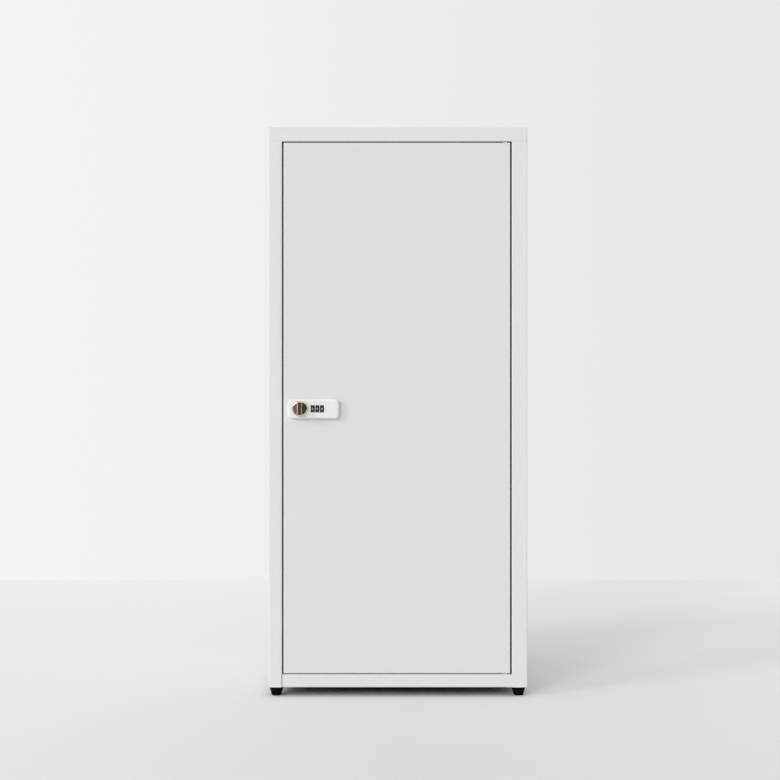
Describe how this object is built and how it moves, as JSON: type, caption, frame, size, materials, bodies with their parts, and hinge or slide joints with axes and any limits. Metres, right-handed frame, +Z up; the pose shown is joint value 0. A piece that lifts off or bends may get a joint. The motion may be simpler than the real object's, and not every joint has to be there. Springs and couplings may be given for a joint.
{
  "type": "locker",
  "caption": "Tall steel locker with one inset door on pivot pins, inner shelves, tapered feet and a dial combination lock with a turn knob.",
  "frame": {"origin": "on the floor, under the middle of the box that holds the cabinet and its lock", "axes": "+Z up, the door faces -Y, +X to the right as seen from the front"},
  "size_m": [0.4, 0.422, 0.88],
  "materials": {
    "white_paint": "satin white powder coat",
    "lock_white": "semi-gloss white lacquer on a zinc casting",
    "foot_black": "moulded black plastic",
    "zinc_steel": "bright zinc plate",
    "spring_steel": "spring steel",
    "brass": "machined",
    "chrome": "bright chrome plate",
    "dial_black": "moulded black plastic with white digits",
    "cover_black": "moulded black plastic",
    "bush_nylon": "natural nylon",
    "buffer_rubber": "grey rubber"
  },
  "bodies": {
    "cabinet": {"left_side_panel": "white_paint", "right_side_panel": "white_paint", "top_panel": "white_paint", "bottom_panel": "white_paint", "back_panel": "white_paint", "upper_shelf": "white_paint", "lower_shelf": "white_paint", "upper_left_shelf_rail": "white_paint", "upper_right_shelf_rail": "white_paint", "lower_left_shelf_rail": "white_paint", "lower_right_shelf_rail": "white_paint", "front_left_foot": "foot_black", "front_right_foot": "foot_black", "rear_left_foot": "foot_black", "rear_right_foot": "foot_black", "foot_screws": "zinc_steel", "foot_nuts": "zinc_steel", "top_joint_screws": "zinc_steel", "top_joint_nuts": "zinc_steel", "upper_hinge_pin": "white_paint", "lower_hinge_pin": "white_paint", "door_buffers": "buffer_rubber"},
    "door": {"door_panel": "white_paint", "door_stiffener": "white_paint", "upper_door_bush": "bush_nylon", "lower_door_bush": "bush_nylon", "lock_housing": "lock_white", "lock_rear_cover": "cover_black", "lock_screws": "zinc_steel", "dial_axle": "zinc_steel", "code_discs": "brass", "detent_spring": "spring_steel"},
    "knob": {"knob": "chrome", "knob_washer": "bush_nylon", "knob_spindle": "zinc_steel", "spindle_clip": "spring_steel", "lock_cam": "zinc_steel", "cam_washer": "zinc_steel", "cam_screw": "zinc_steel"},
    "locking_slide": {"locking_slide": "zinc_steel"},
    "dial_1": {"dial_wheel_1": "dial_black"},
    "dial_2": {"dial_wheel_2": "dial_black"},
    "dial_3": {"dial_wheel_3": "dial_black"}
  },
  "joints": [
    {"name": "door_hinge", "type": "hinge", "parent": "cabinet", "child": "door", "pos_m": [0.1658, -0.1835, 0.4446], "axis": [0, 0, 1], "range_deg": [0, 115]},
    {"name": "knob_turn", "type": "hinge", "parent": "door", "child": "knob", "pos_m": [-0.15125, -0.1985, 0.4446], "axis": [0, 1, 0], "range_deg": [0, 90]},
    {"name": "slide_travel", "type": "slide", "parent": "door", "child": "locking_slide", "axis": [0, 0, -1], "range_m": [0, 0.00205]},
    {"name": "dial_1_spin", "type": "hinge", "parent": "door", "child": "dial_1", "pos_m": [-0.13139, -0.1898, 0.4446], "axis": [1, 0, 0], "continuous": true},
    {"name": "dial_2_spin", "type": "hinge", "parent": "door", "child": "dial_2", "pos_m": [-0.12429, -0.1898, 0.4446], "axis": [1, 0, 0], "continuous": true},
    {"name": "dial_3_spin", "type": "hinge", "parent": "door", "child": "dial_3", "pos_m": [-0.11719, -0.1898, 0.4446], "axis": [1, 0, 0], "continuous": true}
  ],
  "couplings": [
    {"joint": "slide_travel", "follows": "knob_turn", "m_per_rad": 0.0012732}
  ]
}
